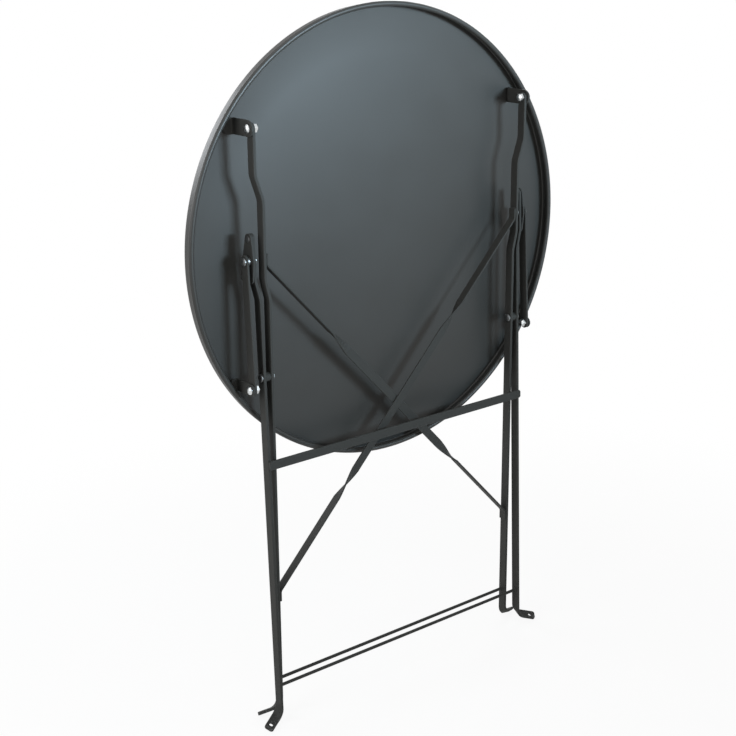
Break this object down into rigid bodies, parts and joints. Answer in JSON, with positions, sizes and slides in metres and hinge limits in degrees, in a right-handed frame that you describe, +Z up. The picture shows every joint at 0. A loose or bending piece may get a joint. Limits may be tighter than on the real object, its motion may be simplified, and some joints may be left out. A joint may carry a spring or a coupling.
{
  "type": "folding bistro table",
  "caption": "Folding round bistro table in coated steel, stored folded flat: a pressed disc top, scissor legs of flat bar, crossed braces and knee stays.",
  "frame": {"origin": "on the floor under the middle of the folded table's box", "axes": "+Z up, the top's upper face towards +Y, +X across the table"},
  "size_m": [0.5998, 0.0648, 0.9292],
  "materials": {
    "top_coat": "satin powder coat",
    "frame_coat": "satin powder coat",
    "zinc": "zinc plated"
  },
  "bodies": {
    "back_frame": {"front_brace": "frame_coat", "rear_brace": "frame_coat", "back_foot_rod": "frame_coat", "back_leg_left": "frame_coat", "back_leg_right": "frame_coat", "scissor_spacer_left": "frame_coat", "scissor_spacer_right": "frame_coat", "scissor_rivet_left": "zinc", "scissor_rivet_right": "zinc"},
    "tabletop": {"tabletop_panel": "top_coat", "tabletop_rim": "top_coat", "hinge_bracket_left": "frame_coat", "hinge_bracket_right": "frame_coat", "stay_bracket_left": "frame_coat", "stay_bracket_right": "frame_coat", "hinge_bolt_left": "zinc", "hinge_bolt_right": "zinc", "hinge_nut_left": "zinc", "hinge_nut_right": "zinc", "stay_bolt_left": "zinc", "stay_bolt_right": "zinc", "stay_nut_left": "zinc", "stay_nut_right": "zinc"},
    "front_frame": {"front_crossbar": "frame_coat", "front_foot_rod": "frame_coat", "front_leg_left": "frame_coat", "front_leg_right": "frame_coat", "knee_plate_left": "frame_coat", "knee_plate_right": "frame_coat", "knee_upper_rivet_left": "zinc", "knee_upper_rivet_right": "zinc", "knee_lower_rivet_left": "zinc", "knee_lower_rivet_right": "zinc", "knee_stud_left": "zinc", "knee_stud_right": "zinc"},
    "stay_left": {"stay_left": "frame_coat", "knee_rivet_left": "zinc"},
    "stay_right": {"stay_right": "frame_coat", "knee_rivet_right": "zinc"}
  },
  "joints": [
    {"name": "top_fold", "type": "hinge", "parent": "back_frame", "child": "tabletop", "pos_m": [0, -0.02262, 0.79136], "axis": [1, 0, 0], "range_deg": [0, 59.45]},
    {"name": "leg_fold", "type": "hinge", "parent": "back_frame", "child": "front_frame", "pos_m": [0, -0.00738, 0.47973], "axis": [-1, 0, 0], "range_deg": [0, 61]},
    {"name": "stay_left_swing", "type": "hinge", "parent": "tabletop", "child": "stay_left", "pos_m": [-0.23083, -0.01044, 0.46808], "axis": [1, 0, 0], "range_deg": [0, 62.15]},
    {"name": "stay_right_swing", "type": "hinge", "parent": "tabletop", "child": "stay_right", "pos_m": [0.23083, -0.01044, 0.46808], "axis": [1, 0, 0], "range_deg": [0, 62.15]}
  ],
  "couplings": [
    {"joint": "leg_fold", "follows": "top_fold", "ratio": 1.0261},
    {"joint": "stay_left_swing", "follows": "top_fold", "ratio": 1.0454},
    {"joint": "stay_right_swing", "follows": "top_fold", "ratio": 1.0454}
  ]
}
